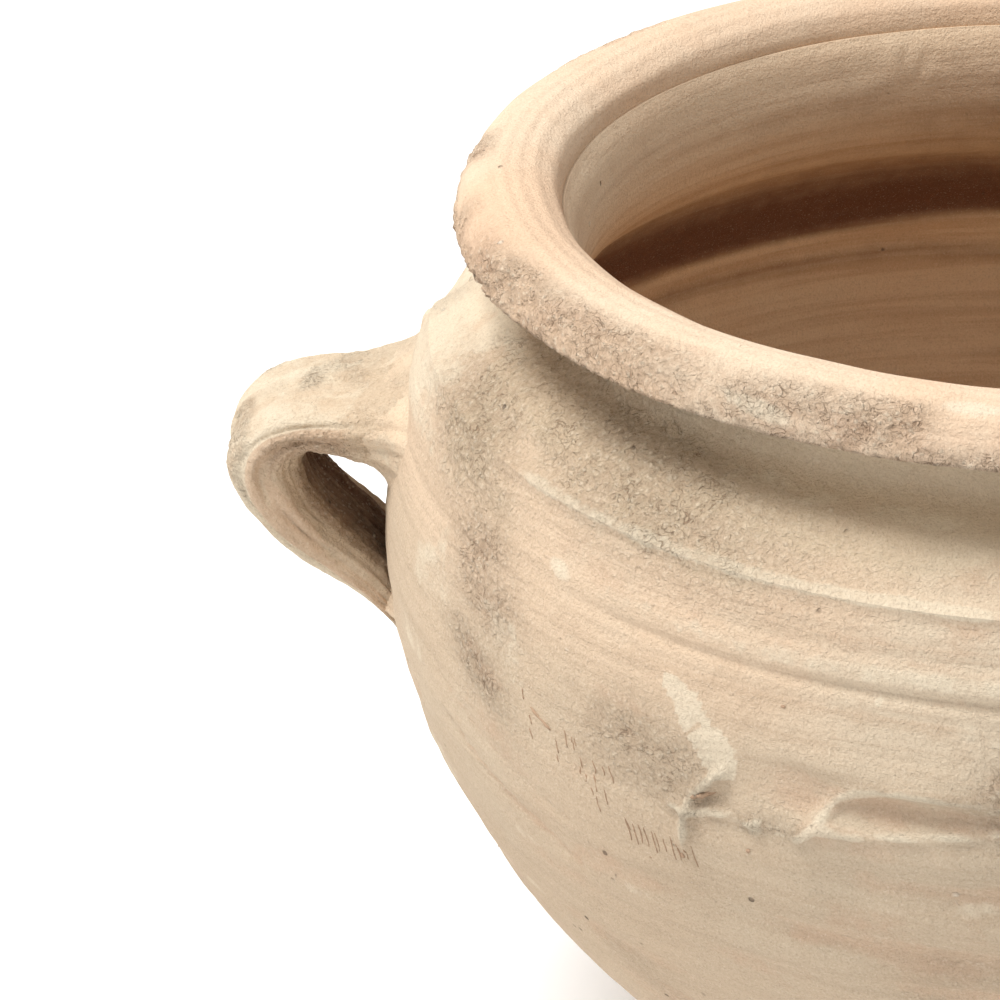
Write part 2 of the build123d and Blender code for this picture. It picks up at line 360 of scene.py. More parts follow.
in_z = in_pts[..., 2]
coil = 2 * np.pi * (in_z + az_in * 7.0 / 360) / 7.0 + 1.6 * noise(in_pts / 50, 61)
thrown = 0.34 * np.sin(coil) * (0.55 + 0.45 * noise(in_pts / 80, 62))
thrown = thrown + 0.5 * noise(in_pts / 45, 63) + 0.12 * rough(squashed(in_pts, 60, 3), 3, 0.6, 64)
crumble = spot(az_in, in_z, (107, 203), (14, 8)) + 0.8 * spot(az_in, in_z, (135, 197), (5, 4))
thrown = (thrown + 1.1 * crumble * rough(in_pts / 3.6, 3, 0.64, 65)) * step(in_z, 16, 24)
thrown = thrown * step(in_z, 206, 200) + 0.7 * step(in_z, 198, 204.5)
in_rings = raised(inside, facing(inside), thrown)
deep = np.clip(0.30 + 0.60 * step(in_z, 200, 178) - 0.35 * step(in_z, 146, 124), 0, 1)
# painted shade inside: a dark band under the neck's overhang, a band in the throat on the far side, a thin
# band lower down and streaky patches
burnt = step(in_z - 3 * noise(in_pts / 60, 66), 143, 150)
burnt = burnt * step(in_z - 4 * noise(in_pts / 40, 69), 186, 152)
throat = step(in_z, 160, 174) * step(in_z, 206, 196)
burnt = np.maximum(burnt, 0.46 * throat * np.exp(-(arc(az_in, 75) / 130) ** 2))
burnt = np.maximum(burnt, 0.5 * np.exp(-((in_z - 137 - 2 * noise(in_pts / 50, 67)) / 3.2) ** 2))
burnt = np.maximum(burnt, 0.30 * step(noise(squashed(in_pts, 50, 7), 68), 0.2, 0.6))

seam_rings = 0.5 * (out_rings[n_bowl - 1:n_bowl] + in_rings[n_neck_in - 1:n_neck_in])


def level(radius, height):
    """One level ring."""
    return around(np.array([[radius, height]]))


floor_radii = np.linspace(bowl_in[-1][0] - 0.003, drain_r + 0.002, 10)
floor_rings = [level(r, floor_z + 0.0004 * math.sin(r * 900)) for r in floor_radii]
hole_line = ((0.0004, floor_z - 0.0006), (0, floor_z - 0.002), (0, 0.002), (0.0006, 0.0005))
hole_rings = [level(drain_r + wider, h) for wider, h in hole_line]
under_rings = [level(r, 0.0) for r in np.linspace(drain_r + 0.002, outside[0][0] - 0.003, 6)]
wall_rings = [out_rings[:n_bowl], seam_rings, in_rings[n_neck_in - 1:]]
bowl_rings = np.concatenate(wall_rings + floor_rings + hole_rings + under_rings)
bowl = ring_mesh("bowl_skin", bowl_rings, sharp=(n_bowl - 1, n_bowl + 1))
paint(
    bowl, len(bowl_rings), **{word: field[:n_bowl] for word, field in marks.items()},
    deep=(n_bowl + 1, deep[n_neck_in - 1:]), burnt=(n_bowl + 1, burnt[n_neck_in - 1:]),
)


class Nodes:
    """Short calls for building one node tree."""

    def __init__(self, tree):
        self.tree = tree

    def add(self, kind, **values):
        node = self.tree.nodes.new(kind)
        for key, value in values.items():
            setattr(node, key, value)
        return node

    def put(self, socket, value):
        if isinstance(value, bpy.types.NodeSocket):
            self.tree.links.new(value, socket)
        else:
            socket.default_value = value

    def math(self, op, a, b=0.0):
        node = self.add("ShaderNodeMath", operation=op)
        self.put(node.inputs[0], a)
        self.put(node.inputs[1], b)
        return node.outputs[0]

    def ramp(self, value, lo, hi, a=0.0, b=1.0):
        node = self.add("ShaderNodeMapRange", interpolation_type="SMOOTHSTEP")
        self.put(node.inputs["Value"], value)
        for key, number in (("From Min", lo), ("From Max", hi), ("To Min", a), ("To Max", b)):
            node.inputs[key].default_value = number
        return node.outputs["Result"]

    def stretch(self, vector, x, y, z):
        node = self.add("ShaderNodeVectorMath", operation="MULTIPLY")
        self.put(node.inputs[0], vector)
        node.inputs[1].default_value = (x, y, z)
        return node.outputs[0]

    def warp(self, vector, scale, reach):
        swirl = self.add("ShaderNodeTexNoise")
        self.put(swirl.inputs["Vector"], vector)
        swirl.inputs["Scale"].default_value = scale
        moved = self.add("ShaderNodeVectorMath", operation="MULTIPLY_ADD")
        self.put(moved.inputs[0], swirl.outputs["Color"])
        moved.inputs[1].default_value = (reach, reach, reach)
        self.put(moved.inputs[2], vector)
        return moved.outputs[0]

    def noise(self, vector, scale, detail=4.0, roughness=0.55, distortion=0.0):
        node = self.add("ShaderNodeTexNoise")
        self.put(node.inputs["Vector"], vector)
        node.inputs["Scale"].default_value = scale
        node.inputs["Detail"].default_value = detail
        node.inputs["Roughness"].default_value = roughness
        node.inputs["Distortion"].default_value = distortion
        return node.outputs["Fac"]

    def cells(self, vector, scale):
        node = self.add("ShaderNodeTexVoronoi")
        self.put(node.inputs["Vector"], vector)
        node.inputs["Scale"].default_value = scale
        return node.outputs["Distance"]

    def field(self, name):
        return self.add("ShaderNodeAttribute", attribute_name=name).outputs["Fac"]

    def mix(self, share, a, b, blend="MIX"):
        node = self.add("ShaderNodeMix", data_type="RGBA", blend_type=blend)
        self.put(node.inputs["Factor"], share)
        self.put(node.inputs[6], a)
        self.put(node.inputs[7], b)
        return node.outputs[2]

    def bump(self, height, distance, normal=None):
        node = self.add("ShaderNodeBump")
        self.put(node.inputs["Height"], height)
        node.inputs["Distance"].default_value = distance
        if normal is not None:
            self.put(node.inputs["Normal"], normal)
        return node.outputs[0]


def fired_clay(name, cream, peach, tan, streaky=1.0):
    """Unglazed earthenware: slip drawn round by the wheel, sand, pits and flakes, with painted shade and
    painted highlights on the relief.
    """
    mat = bpy.data.materials.new(name)
    mat.use_nodes = True
    t = Nodes(mat.node_tree)
    mat.node_tree.nodes.clear()
    here = t.add("ShaderNodeTexCoord").outputs["Object"]
    grit, stain, pale, moss = t.field("grit"), t.field("stain"), t.field("pale"), t.field("moss")
    deep, burnt = t.field("deep"), t.field("burnt")
    wheel = t.noise(t.stretch(here, 12, 12, 330), 1.0, 6.0, 0.62, 0.25)
    blotch = t.noise(here, 15.0, 5.0, 0.6, 0.4)
    mottle = t.noise(here, 120.0, 6.0, 0.7, 0.3)
    sand = t.noise(here, 2100.0, 3.0, 0.65)
    flakes = t.noise(here, 950.0, 5.0, 0.68, 0.1)
    worn, pit = t.field("worn"), t.field("pit")
    fray = t.math("MULTIPLY", t.math("SUBTRACT", mottle, 0.5), 1.6)

    def where(field, lo=0.30, hi=0.62):
        return t.ramp(t.math("ADD", field, fray), lo, hi)

    # slip in two tints, drawn round by the wheel, darker low down and stained in places, with painted shade
    # in grooves and on the neck and painted highlights on ridges
    colour = t.mix(t.ramp(blotch, 0.36, 0.64), cream + (1,), peach + (1,))
    colour = t.mix(t.math("MULTIPLY", t.ramp(wheel, 0.44, 0.68), 0.65 * streaky), colour, tan + (1,))
    colour = t.mix(t.math("MULTIPLY", t.ramp(mottle, 0.50, 0.72), 0.42), colour, tan + (1,))
    colour = t.mix(t.math("MULTIPLY", worn, 0.55), colour, (0.52, 0.41, 0.29, 1))
    colour = t.mix(t.math("MULTIPLY", where(moss, 0.2, 0.9), 0.30), colour, (0.55, 0.46, 0.31, 1))
    colour = t.mix(t.math("MULTIPLY", where(stain, 0.25, 0.95), 0.44), colour, (0.61, 0.40, 0.27, 1))
    colour = t.mix(t.math("MULTIPLY", where(pale, 0.35, 0.75), 0.65), colour, (0.76, 0.66, 0.50, 1))
    # the inside: bare clay, darkened by painted shade under the neck's overhang and under the straps
    bare = t.mix(t.ramp(wheel, 0.40, 0.62), (0.80, 0.58, 0.375, 1), (0.68, 0.45, 0.27, 1))
    colour = t.mix(deep, colour, bare)
    # painted shade, mixed towards near black
    soot = t.math("ADD", burnt, t.math("MULTIPLY", fray, 0.22))
    colour = t.mix(t.ramp(soot, 0.05, 1.0, 0.0, 0.93), colour, (0.12, 0.035, 0.014, 1))
    # torn clay: crumbs and curling cracks, with painted shade in the gaps, cracks and dips and painted
    # highlights on the crests
    crumb = t.cells(t.stretch(t.warp(here, 300.0, 0.0020), 1, 1, 1.25), 600.0)
    # painted shade in the gaps between crumbs
    gap = t.math("MULTIPLY", t.ramp(crumb, 0.46, 0.70), grit)
    colour = t.mix(t.math("MULTIPLY", gap, 0.24), colour, (0.42, 0.27, 0.165, 1))
    curl = t.noise(t.stretch(here, 1, 1, 1.3), 330.0, 2.0, 0.5, 0.9)
    from_line = t.math("ABSOLUTE", t.math("SUBTRACT", curl, 0.47))
    crack = t.math("MULTIPLY", t.ramp(from_line, 0.022, 0.004), t.ramp(grit, 0.35, 0.8))
    crack = t.math("MULTIPLY", crack, t.ramp(mottle, 0.44, 0.54))
    # painted shade along the cracks
    colour = t.mix(t.math("MULTIPLY", crack, 0.55), colour, (0.33, 0.20, 0.12, 1))
    # painted highlight on the crumbs' crests
    crest = t.math("MULTIPLY", t.ramp(crumb, 0.32, 0.14), grit)
    colour = t.mix(t.math("MULTIPLY", crest, 0.45), colour, (0.88, 0.76, 0.58, 1))
    # painted shade in the dips between flakes
    dip = t.math("MULTIPLY", t.ramp(flakes, 0.48, 0.36), grit)
    colour = t.mix(t.math("MULTIPLY", dip, 0.16), colour, (0.36, 0.23, 0.14, 1))
    # dark and light grains, painted shade in pits, iron flecks and lumps of lime
    colour = t.mix(t.math("MULTIPLY", t.ramp(sand, 0.50, 0.34), 0.24), colour, (0.32, 0.21, 0.13, 1))
    colour = t.mix(t.math("MULTIPLY", t.ramp(sand, 0.56, 0.70), 0.22), colour, (0.93, 0.82, 0.66, 1))
    colour = t.mix(t.math("MULTIPLY", where(pit, 0.15, 0.95), 0.13), colour, (0.42, 0.25, 0.15, 1))
    rare = t.ramp(t.noise(here, 75.0, 2.0), 0.62, 0.68)
    fleck = t.math("MULTIPLY", t.ramp(t.cells(here, 230.0), 0.17, 0.08), rare)
    colour = t.mix(t.math("MULTIPLY", fleck, 0.75), colour, (0.13, 0.09, 0.06, 1))
    lump = t.ramp(t.cells(t.stretch(here, 1, 1, 1.5), 150.0), 0.15, 0.06)
    lime = t.math("MULTIPLY", lump, t.ramp(t.noise(here, 66.0, 2.0), 0.36, 0.30))
    colour = t.mix(t.math("MULTIPLY", lime, 0.7), colour, (0.92, 0.84, 0.70, 1))
    shader = t.add("ShaderNodeBsdfPrincipled")
    t.put(shader.inputs["Base Color"], colour)
    t.put(shader.inputs["Roughness"], t.ramp(mottle, 0.3, 0.7, 0.84, 0.98))
    shader.inputs["Specular IOR Level"].default_value = 0.15
    normal = t.bump(wheel, 0.0006 * streaky)
    normal = t.bump(mottle, 0.0007, normal)
    rise = t.math("ADD", t.math("MULTIPLY", grit, 1.1), 0.28)
    normal = t.bump(t.math("MULTIPLY", t.math("SUBTRACT", flakes, 0.5), rise), 0.00125, normal)
    normal = t.bump(t.math("MULTIPLY", t.math("SUBTRACT", 1.0, crumb), grit), 0.00070, normal)
    normal = t.bump(sand, 0.00026, normal)
    normal = t.bump(t.math("MULTIPLY", crack, -1.0), 0.0004, normal)
    normal = t.bump(t.math("ADD", t.math("MULTIPLY", fleck, -1.0), lime), 0.0005, normal)
    t.put(shader.inputs["Normal"], normal)
    t.put(t.add("ShaderNodeOutputMaterial").inputs["Surface"], shader.outputs[0])
    return mat


bowl_clay = fired_clay("bowl clay", (0.69, 0.56, 0.41), (0.69, 0.52, 0.365), (0.55, 0.405, 0.28))
bowl.data.materials.append(bowl_clay)
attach(bowl, "root")
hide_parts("bowl")

def strokes(name, cuts, width, colour, node, proud=0.00006):
    """Painted shade for thin slits and pits: dark lens-shaped slivers lying in the clay."""
    points, faces = [], []
    for a0, z0, a1, z1, wide in cuts:
        run = np.linspace(0, 1, 7)
        az = np.radians(a0 + (a1 - a0) * run) + 0.0007 * np.sin(run * 5 + a0 * 7)
        z = (z0 + (z1 - z0) * run) / 1000
        row = np.searchsorted(outside[:, 1], z).clip(1, len(outside) - 1)
        col = np.searchsorted(columns, np.degrees(az) % 360).clip(1, len(columns) - 1)
        spread = wide * width * np.sqrt(np.maximum(0.02, 1 - (2 * run - 1) ** 2))
        along = np.stack([np.cos(az), np.sin(az), 0 * az], -1)
        middle = 0.5 * (out_rings[row, col] + out_rings[row - 1, col - 1])
        radius = np.hypot(middle[:, 0], middle[:, 1])
        base = np.stack([radius * np.cos(az), radius * np.sin(az), z], -1)
        d = np.gradient(base, axis=0)
        across = np.cross(d, along)
        across = across / np.linalg.norm(across, axis=1)[:, None]
        n0 = len(points)
        for b, s, n, w in zip(base, spread, along, across):
            crown, root = b + n * (proud + 0.00012), b - n * 0.0006
            points += [tuple(v) for v in (b + w * s + n * proud, crown, b - w * s + n * proud, root)]
        for i in range(len(run) - 1):
            k = n0 + 4 * i
            for j in range(4):
                faces.append((k + j, k + (j + 1) % 4, k + 4 + (j + 1) % 4, k + 4 + j))
        last = n0 + 4 * (len(run) - 1)
        faces += [(n0 + 3, n0 + 2, n0 + 1, n0), (last, last + 1, last + 2, last + 3)]
    mesh = bpy.data.meshes.new(name)
    mesh.from_pydata(points, [], faces)
    mesh.shade_smooth()
    obj = bpy.data.objects.new(name, mesh)
    bpy.context.scene.collection.objects.link(obj)
    mat = bpy.data.materials.new(name)
    mat.use_nodes = True
    t = Nodes(mat.node_tree)
    here = t.add("ShaderNodeTexCoord").outputs["Object"]
    shader = mat.node_tree.nodes["Principled BSDF"]
    dark, light = (tuple(k * c for c in colour) + (1,) for k in (0.6, 1.5))
    t.put(shader.inputs["Base Color"], t.mix(t.noise(here, 700.0), dark, light))
    shader.inputs["Roughness"].default_value = 0.95
    shader.inputs["Specular IOR Level"].default_value = 0.1
    t.put(shader.inputs["Normal"], t.bump(t.noise(here, 1500.0), 0.0003))
    mesh.materials.append(mat)
    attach(obj, "root")
    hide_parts(node)
    return obj


rng = np.random.default_rng(12)
cuts = [
    (222.2, 139.4, 223.4, 138.2, 1.2), (223.3, 138.4, 224.8, 137.2, 1.3),
    (239.1, 137.2, 240.9, 138.8, 1.9), (239.6, 137.9, 240.5, 138.2, 1.4),
    (238.2, 123.9, 238.4, 122.9, 1.5), (243.9, 129.6, 244.2, 129.4, 1.5),
]
for _ in range(20):
    a = rng.normal(227.5, 3.4)
    z = 134.5 - 0.95 * (a - 227.5) + rng.normal(0, 3.0)
    long = rng.uniform(1.0, 3.4)
    cuts.append((a, z + long / 2, a + 0.16 * long, z - long / 2, rng.uniform(0.22, 0.42)))
for k in range(11):
    a = 233.0 + 0.60 * k + rng.normal(0, 0.08)
    long = rng.uniform(2.2, 5.2)
    top = 124.2 + long / 2 + rng.normal(0, 0.5)
    cuts.append((a, top, a + 0.10 * long, 124.2 - long / 2, rng.uniform(0.3, 0.5)))
for _ in range(40):
    a, z = rng.uniform(0, 360), rng.uniform(30, 160)
    cuts.append((a, z, a + rng.uniform(0.2, 0.4), z - rng.uniform(-0.3, 0.3), rng.uniform(0.6, 1.2)))
# dark slivers as painted shade in the comb marks, slits and pits
strokes("bowl_cuts", cuts, 0.00032, (0.40, 0.27, 0.18), "bowl")

# ======================================================================
# Neck. A ring of clay luted onto the shoulder and drawn in to a waist, its
# outside left gritty and greenish near the left handle.
# ======================================================================
lip_seam = 0.5 * (out_rings[-1:] + in_rings[:1])
neck_rings = np.concatenate([out_rings[n_bowl - 1:], lip_seam, in_rings[:n_neck_in], seam_rings])
n_out = len(out_rings) - n_bowl + 1
neck = ring_mesh("neck_skin", neck_rings, sharp=(0, n_out - 1, n_out + 1, n_out + n_neck_in))
paint(
    neck, len(neck_rings),
    **{word: marks[word][n_bowl - 1:] for word in ("grit", "stain", "pale", "moss", "pit")},
    deep=(n_out + 1, deep[:n_neck_in]), burnt=(n_out + 1, burnt[:n_neck_in]),
)
neck_clay = fired_clay("neck clay", (0.68, 0.545, 0.395), (0.66, 0.50, 0.35), (0.54, 0.41, 0.29), 0.8)
neck.data.materials.append(neck_clay)
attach(neck, "root")
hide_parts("neck")

# ======================================================================
# Rim. A coil turned outward into a broad rounded lip, smoothed by a wet
# finger on its inner edge and dragged sandy towards its outer edge.
# ======================================================================
lip_in_r, lip_out_r = reach_out("rim", lip_z + 0.001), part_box("rim")[1][0]
core = Vector((0.5 * (lip_in_r + lip_out_r), 1e-5, lip_z + 0.0028))
lip_path = []
for angle in np.linspace(-14, 194, 58):
    aim = Vector((math.cos(math.radians(angle)), 0, math.sin(math.radians(angle))))
    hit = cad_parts["rim"].ray_cast(core, aim)[1]
    lip_path.append((hit[0], hit[2]))
lip_path = np.array(lip_path)
lip_mm = around(lip_path) * 1000
across = np.broadcast_to(np.linspace(0, 1, len(lip_path))[:, None], lip_mm.shape[:2])
lip_az = np.broadcast_to(columns, lip_mm.shape[:2])
lip_high = 0.42 * noise(lip_mm / 55, 71) + 0.20 * noise(lip_mm / 18, 72)
lip_high = lip_high + 0.09 * np.sin(across * 46 + 2.2 * noise(lip_mm / 45, 73))
face = step(across, 0.42, 0.20)
by_handle = 1.3 * spot(lip_az, 0 * lip_az, (221, 0), (34, 50))
dragged = face * np.clip(step(noise(lip_mm / 30, 74), -0.1, 0.4) + by_handle, 0, 1)
dragged = np.maximum(dragged, 0.9 * step(across, 0.12, 0.03))
torn = spot(lip_az, across * 30, (203, 2.0), (13, 4.5))
lip_tear = rough(lip_mm / 3.4, 4, 0.64, 75)
lip_high = lip_high + (0.46 * dragged + 1.0 * torn) * lip_tear + 0.5 * torn
score_a = drawn(lip_az, across * 30, [(249, 5.4, 0.7), (262, 5.2, 1), (280, 5.0, 0.5)], 0.5)
score_b = drawn(lip_az, across * 30, [(252, 4.3, 0.7), (264, 4.1, 1), (276, 4.0, 0.5)], 0.45)
lip_high = lip_high - 0.35 * np.maximum(score_a, score_b)
chalk = spot(lip_az, across * 30, (240, 3.2), (10, 1.6), -6)
chalk = np.maximum(chalk, spot(lip_az, across * 30, (259, 9.5), (9, 2.2)))
chalk = np.maximum(chalk, 0.7 * step(noise(lip_mm / 14, 76), 0.45, 0.7) * face)
rust = 0.8 * spot(lip_az, across * 30, (232.7, 10.5), (4, 2.6))
rust = np.maximum(rust, 0.65 * face * step(noise(lip_mm / 26, 77), 0.0, 0.5))
rust = np.maximum(rust, 0.6 * step(lip_az, 226, 246) * step(across, 0.26, 0.12) * step(lip_az, 330, 300))
lip_rings = raised(lip_path, facing(lip_path), lip_high)
under_lip = [level(r, lip_z + 0.00002) for r in np.linspace(lip_in_r + 0.0015, lip_out_r - 0.0015, 6)]
rim_rings = np.concatenate([lip_rings] + under_lip)
rim = ring_mesh("rim_skin", rim_rings)
coarse = np.clip(dragged + torn, 0, 1)
# the pit field is painted shade in the low parts of the torn lip
paint(
    rim, len(rim_rings), grit=coarse * 0.9 + 0.05, pale=chalk, stain=rust,
    pit=coarse * step(lip_tear, -0.15, -0.75), deep=0.30 * step(across, 0.82, 1.0),
)
rim_clay = fired_clay("rim clay", (0.75, 0.585, 0.425), (0.75, 0.53, 0.36), (0.62, 0.44, 0.30), 0.6)
rim.data.materials.append(rim_clay)
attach(rim, "root")
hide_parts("rim")

# ======================================================================
# Handles. Two straps pulled from wet clay, bent over and pressed on: domed
# outside, flatter inside, streaked along their length by the fingers.
# ======================================================================
strap_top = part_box("left_handle")[1][2] - 0.0045  # the strap's crown is under its bedded end
strap_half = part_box("left_handle")[1][1]
# Outer and inner line of the strap: millimetres out past the belly and below the top.
# They follow outlines that a measuring script printed, with more points than the shape needs.
strap_pairs = np.array([
    (-11.0, 8.5, -9.0, -16.5), (-4.7, 4.2, -1.5, -14.6), (2.3, 1.9, 4.2, -12.9),
    (9.0, 0.6, 8.2, -11.6), (14.5, 0.3, 11.5, -10.4), (20.6, -0.8, 14.6, -9.7),
    (27.0, -3.4, 16.9, -10.2), (31.8, -7.6, 18.2, -11.8), (34.0, -12.8, 18.4, -14.6),
    (32.7, -18.7, 17.4, -18.2), (28.7, -25.4, 15.6, -21.6), (20.6, -33.8, 11.6, -26.6),
    (12.7, -39.0, 6.6, -32.2), (5.8, -44.2, 1.8, -37.4), (0.3, -50.0, -2.4, -43.4),
    (-3.1, -55.3, -7.6, -48.8), (-8.6, -62.0, -13.0, -52.0),
])


def smooth_line(points, count):
    """Catmull-Rom curve through points."""
    p = np.concatenate([2 * points[:1] - points[1:2], points, 2 * points[-1:] - points[-2:-1]])
    t = np.linspace(0, len(points) - 1 - 1e-9, count)
    k = t.astype(int)
    f = (t - k)[:, None]
    a, b, c, d = p[k], p[k + 1], p[k + 2], p[k + 3]
    square, cube = 2 * a - 5 * b + 4 * c - d, 3 * b - a - 3 * c + d
    return 0.5 * (2 * b + (c - a) * f + square * f ** 2 + cube * f ** 3)


# Half of the strap's section: share of half width, share of thickness (1 outside).
section = smooth_line(np.array([
    (0.0, 1.03), (0.35, 1.03), (0.70, 0.99), (0.90, 0.88), (0.985, 0.70), (1.0, 0.50),
    (0.95, 0.28), (0.82, 0.12), (0.66, 0.02), (0.45, -0.01), (0.22, 0.01), (0.0, 0.02),
]), 74)
far_half = section[-2:0:-1] * [-1, 1]
far_half[:, 1] += 0.06 * step(far_half[:, 1], 0.3, 0.9)
far_half[:, 0] *= 1 - 0.26 * step(far_half[:, 1], 0.45, 0.0)
section = np.concatenate([section, far_half])


def strap_surface(side, seed):
    """Rings of one strap with its streaks and folds, and its colour fields."""
    line = smooth_line(strap_pairs, 236)
    outer = np.stack([belly_r * 1000 + line[:, 0], strap_top * 1000 + line[:, 1]], -1)
    inner = np.stack([belly_r * 1000 + line[:, 2], strap_top * 1000 + line[:, 3]], -1)
    s, v = section[:, 0], section[:, 1]
    flare = 1 + 0.10 * np.exp(-((np.linspace(0, 1, len(line)) - 0.02) / 0.12) ** 2)
    rz = inner[:, None] + (outer - inner)[:, None] * v[None, :, None]
    y = np.broadcast_to(s * (strap_half * 1000 - 0.9), rz.shape[:2]) * flare[:, None]
    p = np.stack([side * rz[..., 0], -y, rz[..., 1]], -1)
    du = np.gradient(p, axis=0)
    dv = np.roll(p, -1, 1) - np.roll(p, 1, 1)
    n = np.cross(du, dv) * side
    n = n / np.maximum(np.linalg.norm(n, axis=-1), 1e-9)[..., None]
    paces = np.hypot(*np.diff(0.5 * (outer + inner), axis=0).T)
    run = np.cumsum(np.concatenate([[0], paces]))[:, None] + 0 * v
    round_paces = np.hypot(np.diff(s, append=s[:1]) * 18, np.diff(v, append=v[:1]) * 11)
    girth = np.cumsum(round_paces)[None, :] + 0 * run
    total = girth[0, -1]
    a = 2 * np.pi * girth / total
    wrap = np.stack([np.cos(a) * total / 6.28, np.sin(a) * total / 6.28], -1)
    lie = np.stack([wrap[..., 0] / 2.7, wrap[..., 1] / 2.7, run / 38], -1)
    streak = rough(lie, 4, 0.6, seed)
    top = step(v, 0.62, 0.9)[None, :] + 0 * run
    under = step(v, 0.12, 0.02)[None, :] + 0 * run
    flank = (1 - top) * (1 - under)
    high = 0.55 * noise(p / 19, seed + 5) + 0.30 * noise(p / 8, seed + 6)
    high = high + streak * (0.26 * top + 0.85 * flank + 0.45 * under)
    # a lip of dragged clay along the near shoulder of the strap, hollow below it
    near = (s > 0)[None, :] + 0 * run
    waver = 0.05 * noise(np.stack([run / 11, 0 * run, 0 * run + seed], -1), seed + 7)
    lipline = np.exp(-((v[None, :] - 0.80 - waver) / 0.06) ** 2) * near
    hollow = np.exp(-((v[None, :] - 0.64 - waver) / 0.10) ** 2) * near
    second = np.exp(-((v[None, :] - 0.40 - 1.4 * waver) / 0.06) ** 2) * near
    third = np.exp(-((v[None, :] - 0.25 + waver) / 0.06) ** 2) * near
    keep = 0.55 + 0.45 * noise(np.stack([run / 16, 0 * run, 0 * run], -1), seed + 8)
    high = high + keep * (1.5 * lipline - 1.5 * hollow + 0.8 * second - 0.8 * third)
    share = run / run[-1:, :]
    scar = under * 0.9 + flank * step(share, 0.42, 0.30)
    grit = np.clip(0.18 + 0.55 * scar + 0.5 * top * step(noise(p / 12, seed + 9), 0.1, 0.5), 0, 1)
    tear = rough(p / 3.4, 3, 0.62, seed + 10)
    high = high + 0.50 * grit * tear
    # painted shade in pocks on the top and in the low parts of the torn clay
    pocks = 0.9 * top * step(noise(p / 6.5, seed + 13), 0.42, 0.62)
    pit = np.clip(grit * step(tear, -0.2, -0.75) + pocks, 0, 1)
    p = p + n * high[..., None]
    # the flanks stained, with painted shade in the grooves of the streaks and in the hollow under the lip
    stain = flank * (0.9 * step(share, 0.42, 0.30) + 0.5 + 0.75 * step(streak, 0.15, -0.5))
    stain = np.clip(stain + 0.5 * hollow * near, 0, 1)
    # painted highlight on the strap's top and along its lip, with patches of slip
    pale = np.clip(0.55 * top + 0.5 * lipline + 0.35 * step(noise(lie * 0.6, seed + 11), 0.2, 0.6), 0, 1)
    end = np.clip(step(share, 0.22, 0.12) + step(share, 0.80, 0.90), 0, 1)
    # painted shade on the strap's underside
    scorch = step(share, 0.30, 0.44) * (0.50 - 0.35 * s[None, :] + 0.3 * streak)
    burnt = np.clip(under * scorch + 0.2 * under, 0, 0.9)
    moss = 0.45 * flank + 0.35 * step(noise(p / 9, seed + 12), 0.3, 0.6)
    pale = pale * (1 - under) * (1 - end) + 0.3 * end
    return p / 1000, dict(
        grit=grit * (1 - end) + 0.3 * end, stain=stain * (1 - end), pale=pale, pit=pit,
        burnt=burnt * (1 - 0.8 * end), moss=moss * (1 - end), deep=0.5 * under * (1 - end),
        # darker on the lower part of the strap's flanks
        worn=flank * step(share, 0.40, 0.60) * (1 - 0.6 * end),
    )


handle_clay = fired_clay("handle clay", (0.65, 0.53, 0.385), (0.64, 0.49, 0.34), (0.50, 0.38, 0.27), 0.15)
straps = {}
for side, word, seed in ((-1, "left", 100), (1, "right", 140)):
    rings, fields = strap_surface(side, seed)
    straps[word] = rings
    caps = [
        np.repeat(ring.mean(0)[None], len(ring), 0)[None] * 0.999 + 0.001 * ring[None]
        for ring in (rings[0], rings[-1])
    ]
    body = np.concatenate([caps[0], rings, caps[1]])
    if side > 0:
        body = body[:, ::-1]
        fields = {k: f[:, ::-1] for k, f in fields.items()}
    strap = ring_mesh(word + "_strap", body)
    paint(strap, len(body), **{k: (1, f) for k, f in fields.items()})
    strap.data.materials.append(handle_clay)
    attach(strap, "root")
    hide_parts(word + "_handle")

# ======================================================================
# Luting pads. Soft clay smeared with a thumb round each end of a strap and
# feathered onto the wall, left rough at its edges.
# ======================================================================
luting_clay = fired_clay("luting clay", (0.71, 0.575, 0.42), (0.70, 0.535, 0.375), (0.56, 0.43, 0.30), 0.15)


def real_wall(side, y, z):
    """Distance of the marked wall from the plane x=0 at (y, z), in metres."""
    r = np.interp(z, outside[:, 1], outside[:, 0])
    az = np.degrees(np.arctan2(y, side * np.sqrt(np.maximum(r * r - y * y, 0))))
    turn = np.concatenate([columns - 360, columns])
    ring = np.tile(np.hypot(out_rings[..., 0], out_rings[..., 1]), (1, 2))
    row = np.interp(z, outside[:, 1], np.arange(len(outside)))
    col = np.interp(az, turn, np.arange(len(turn)))
    r0 = np.floor(row).astype(int).clip(0, len(outside) - 2)
    c0 = np.floor(col).astype(int).clip(0, len(turn) - 2)
    fr, fc = row - r0, col - c0
    low = ring[r0, c0] * (1 - fc) + ring[r0, c0 + 1] * fc
    top = ring[r0 + 1, c0] * (1 - fc) + ring[r0 + 1, c0 + 1] * fc
    wall = low * (1 - fr) + top * fr
    return np.sqrt(np.maximum(wall * wall - y * y, 1e-9))


